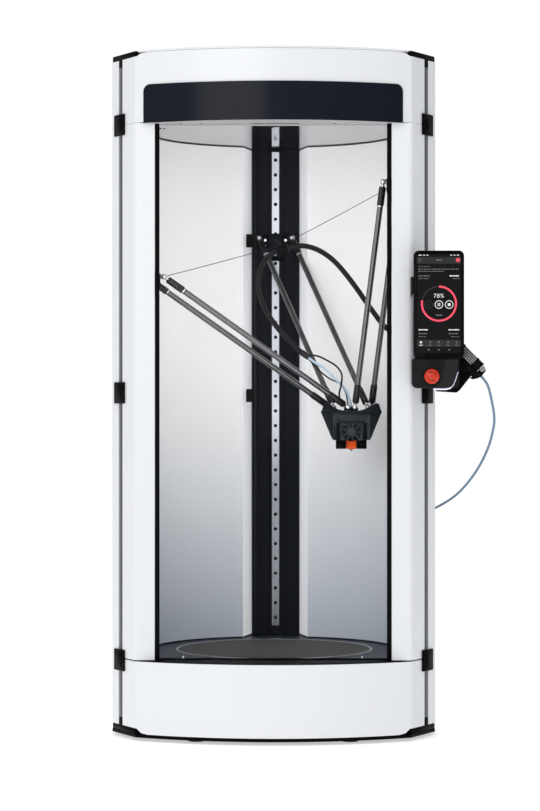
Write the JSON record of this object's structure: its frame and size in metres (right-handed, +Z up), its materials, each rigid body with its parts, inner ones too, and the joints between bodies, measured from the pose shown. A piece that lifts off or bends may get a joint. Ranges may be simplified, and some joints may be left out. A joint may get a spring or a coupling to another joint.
{
  "type": "delta printer",
  "caption": "Enclosed delta 3-D printer with a tall door, round bed, ball-jointed arms on rails, touch-screen dock and side filament drive.",
  "frame": {"origin": "centre of the print sheet's top face", "axes": "+Z up, +Y from the door to the back tower, +X to the side with the phone dock"},
  "size_m": [0.5943, 0.5016, 1.057],
  "materials": {
    "white_panel": "satin",
    "liner": "satin",
    "frame_black": "satin",
    "band_black": "gloss",
    "black_plastic": "matt",
    "deck": "gloss",
    "print_sheet": "fine textured",
    "aluminium": "brushed",
    "bright_metal": "polished",
    "anodised": "anodised",
    "steel": "ground",
    "motor": "satin",
    "carbon": "satin",
    "silicone": "matt",
    "hose": "braided",
    "clear_tube": "translucent",
    "pane": "clear",
    "dock_grey": "fine textured",
    "phone": "gloss",
    "red": "satin",
    "board": "satin"
  },
  "bodies": {
    "body": {"upper_cover": "white_panel", "lower_cover": "white_panel", "side_panel_left": "white_panel", "side_panel_right": "white_panel", "column_left": "white_panel", "column_right": "white_panel", "liner_left": "liner", "liner_right": "liner", "base_frame": "frame_black", "top_frame": "frame_black", "upper_band": "band_black", "extruder_body": "black_plastic", "spool_bracket": "black_plastic", "power_inlet": "black_plastic", "panel_clip_left_low": "black_plastic", "panel_clip_left_middle": "black_plastic", "panel_clip_left_high": "black_plastic", "panel_clip_right_low": "black_plastic", "panel_clip_right_middle": "black_plastic", "panel_clip_right_high": "black_plastic", "bed_deck": "deck", "print_sheet": "print_sheet", "heated_bed": "aluminium", "ceiling_plate": "bright_metal", "tower_left": "anodised", "tower_right": "anodised", "tower_back": "anodised", "rail_left": "steel", "rail_right": "steel", "rail_back": "steel", "power_supply": "steel", "drive_motor_left": "motor", "drive_motor_right": "motor", "drive_motor_back": "motor", "extruder_motor": "motor", "hose_upper": "hose", "filament_tube": "clear_tube", "dock": "dock_grey", "control_board": "board"},
    "effector": {"effector_body": "black_plastic", "hot_end": "silicone", "hose_lower": "hose"},
    "carriage_left": {"carriage_left": "black_plastic"},
    "arm_left_a": {"arm_left_a": "carbon"},
    "arm_left_b": {"arm_left_b": "carbon"},
    "pulley_left": {"drive_pulley_left": "aluminium"},
    "carriage_right": {"carriage_right": "black_plastic"},
    "arm_right_a": {"arm_right_a": "carbon"},
    "arm_right_b": {"arm_right_b": "carbon"},
    "pulley_right": {"drive_pulley_right": "aluminium"},
    "carriage_back": {"carriage_back": "black_plastic"},
    "arm_back_a": {"arm_back_a": "carbon"},
    "arm_back_b": {"arm_back_b": "carbon"},
    "pulley_back": {"drive_pulley_back": "aluminium"},
    "fan": {"fan_rotor": "black_plastic"},
    "door": {"door_frame": "frame_black", "door_pane": "pane"},
    "phone": {"phone": "phone"},
    "stop_button": {"stop_button": "red"},
    "spool_hub": {"spool_hub": "dock_grey"}
  },
  "joints": [
    {"name": "effector_lift", "type": "slide", "parent": "body", "child": "effector", "axis": [0, 0, 1], "range_m": [-0.314, 0.06], "deforming": ["hose_upper"]},
    {"name": "carriage_lift_left", "type": "slide", "parent": "body", "child": "carriage_left", "axis": [0, 0, 1], "range_m": [-0.315, 0.061]},
    {"name": "arm_spin_left_a", "type": "hinge", "parent": "carriage_left", "child": "arm_left_a", "pos_m": [0.0902, 0.01282, 0.3856], "axis": [-0.7889, -0.2606, 0.5565], "continuous": true},
    {"name": "arm_spin_left_b", "type": "hinge", "parent": "carriage_left", "child": "arm_left_b", "pos_m": [0.1177, -0.03482, 0.3856], "axis": [-0.7889, -0.2606, 0.5565], "continuous": true},
    {"name": "pulley_spin_left", "type": "hinge", "parent": "body", "child": "pulley_left", "pos_m": [-0.20304, -0.08432, -0.0514], "axis": [0.5, -0.866, 0], "continuous": true},
    {"name": "carriage_lift_right", "type": "slide", "parent": "body", "child": "carriage_right", "axis": [0, 0, 1], "range_m": [-0.315, 0.061]},
    {"name": "arm_spin_right_a", "type": "hinge", "parent": "carriage_right", "child": "arm_right_a", "pos_m": [0.1283, -0.03482, 0.3856], "axis": [0.114, -0.2606, 0.9587], "continuous": true},
    {"name": "arm_spin_right_b", "type": "hinge", "parent": "carriage_right", "child": "arm_right_b", "pos_m": [0.1558, 0.01282, 0.3856], "axis": [0.114, -0.2606, 0.9587], "continuous": true},
    {"name": "pulley_spin_right", "type": "hinge", "parent": "body", "child": "pulley_right", "pos_m": [0.20304, -0.08432, -0.0514], "axis": [0.5, 0.866, 0], "continuous": true},
    {"name": "carriage_lift_back", "type": "slide", "parent": "body", "child": "carriage_back", "axis": [0, 0, 1], "range_m": [-0.315, 0.061]},
    {"name": "arm_spin_back_a", "type": "hinge", "parent": "carriage_back", "child": "arm_back_a", "pos_m": [0.1505, 0.022, 0.3856], "axis": [-0.3374, 0.5213, 0.7838], "continuous": true},
    {"name": "arm_spin_back_b", "type": "hinge", "parent": "carriage_back", "child": "arm_back_b", "pos_m": [0.0955, 0.022, 0.3856], "axis": [-0.3374, 0.5213, 0.7838], "continuous": true},
    {"name": "pulley_spin_back", "type": "hinge", "parent": "body", "child": "pulley_back", "pos_m": [-0.0285, 0.218, -0.0514], "axis": [-1, 0, 0], "continuous": true},
    {"name": "fan_spin", "type": "hinge", "parent": "effector", "child": "fan", "pos_m": [0.123, -0.0453, 0.3469], "axis": [0, 1, 0], "continuous": true},
    {"name": "door_hinge", "type": "hinge", "parent": "body", "child": "door", "pos_m": [-0.18135, -0.1695, 0.4], "axis": [0, 0, -1], "range_deg": [0, 110]},
    {"name": "phone_lift_off", "type": "slide", "parent": "body", "child": "phone", "axis": [0, 0, 1], "range_m": [0, 0.06]},
    {"name": "stop_button_press", "type": "slide", "parent": "body", "child": "stop_button", "axis": [0, 1, 0], "range_m": [0, 0.0045], "stiffness_N_per_m": 900},
    {"name": "spool_hub_spin", "type": "hinge", "parent": "body", "child": "spool_hub", "pos_m": [0.22517, 0.13, 0.2956], "axis": [0.866, 0.5, 0], "continuous": true}
  ],
  "couplings": [
    {"joint": "carriage_lift_left", "follows": "effector_lift", "ratio": 1},
    {"joint": "pulley_spin_left", "follows": "effector_lift", "rad_per_m": 157.08},
    {"joint": "carriage_lift_right", "follows": "effector_lift", "ratio": 1},
    {"joint": "pulley_spin_right", "follows": "effector_lift", "rad_per_m": 157.08},
    {"joint": "carriage_lift_back", "follows": "effector_lift", "ratio": 1},
    {"joint": "pulley_spin_back", "follows": "effector_lift", "rad_per_m": 157.08}
  ]
}
